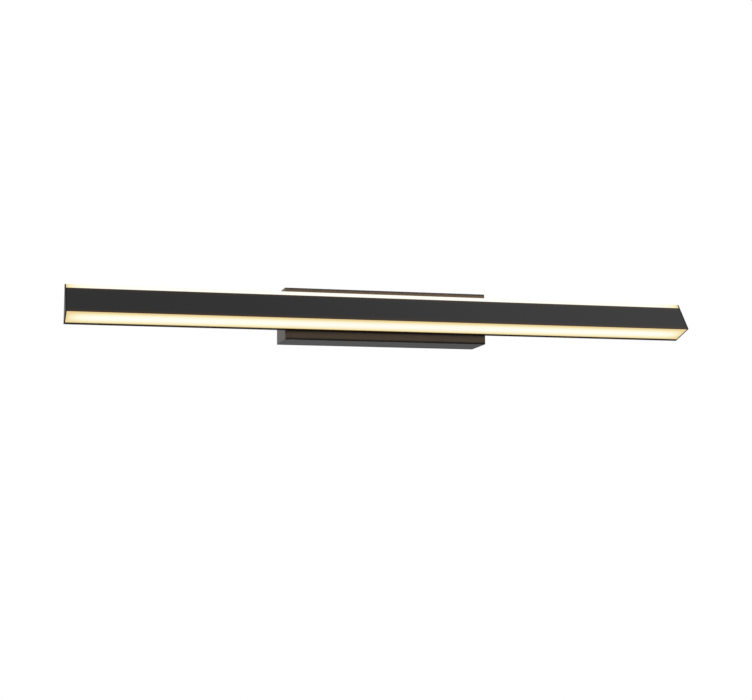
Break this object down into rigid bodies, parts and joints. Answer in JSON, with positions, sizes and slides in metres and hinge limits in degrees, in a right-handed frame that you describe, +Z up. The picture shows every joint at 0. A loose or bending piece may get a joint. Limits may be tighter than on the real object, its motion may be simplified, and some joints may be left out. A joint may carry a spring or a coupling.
{
  "type": "vanity light bar",
  "caption": "Slim triangular wall light bar with a slanted front plate, a lit underside and top edge, carried by a box canopy that holds its driver.",
  "frame": {"origin": "on the wall plane, at the centre of the canopy's open back and of the wall bracket", "axes": "+X along the bar to the right as seen by someone facing the light, +Y into the wall, +Z up; the front plate faces -Y"},
  "size_m": [0.9144, 0.1016, 0.0768],
  "materials": {
    "bar_metal": "fine-textured near-black powder coat",
    "plate_metal": "smooth satin near-black coat",
    "canopy_metal": "fine-textured charcoal powder coat",
    "lens": "opal diffusing, lit from inside",
    "led_board": "white solder mask on aluminium",
    "led_phosphor": "yellow phosphor gel",
    "zinc": "bright zinc plate",
    "black_screw": "black oxide",
    "green_screw": "green dyed zinc",
    "tinned_brass": "tinned brass",
    "black_rubber": "matt moulded silicone",
    "white_plastic": "fine-spark moulded",
    "circuit_board": "green solder mask",
    "ferrite": "taped coil on ferrite",
    "capacitor_sleeve": "shrunk sleeve",
    "terminal_green": "moulded",
    "black_wire": "extruded insulation",
    "white_wire": "extruded insulation",
    "green_wire": "extruded insulation",
    "red_wire": "extruded insulation",
    "orange_plastic": "moulded thermoplastic"
  },
  "bodies": {
    "root": {"spine": "bar_metal", "front_plate": "plate_metal", "top_lens": "lens", "bottom_lens": "lens", "upper_led_board": "led_board", "lower_led_board": "led_board", "upper_leds": "led_phosphor", "lower_leds": "led_phosphor", "board_screws": "zinc", "board_connectors": "white_plastic", "left_end_cap": "bar_metal", "right_end_cap": "bar_metal", "left_end_gasket": "black_rubber", "right_end_gasket": "black_rubber", "end_cap_screws": "black_screw", "saddle": "bar_metal", "bar_screws": "zinc", "bar_nuts": "zinc", "saddle_screws": "zinc", "wire_grommet": "black_rubber", "canopy": "canopy_metal", "canopy_screws": "black_screw", "wall_bracket": "zinc", "ground_screw": "green_screw", "ground_terminal": "tinned_brass", "driver_case": "white_plastic", "driver_lid": "white_plastic", "driver_screws": "zinc", "driver_board": "circuit_board", "driver_transformer": "ferrite", "driver_capacitors": "capacitor_sleeve", "driver_terminals": "terminal_green", "line_lead": "black_wire", "neutral_lead": "white_wire", "ground_lead": "green_wire", "upper_board_leads": "red_wire", "lower_board_leads": "black_wire", "wire_connectors": "orange_plastic"}
  },
  "joints": []
}
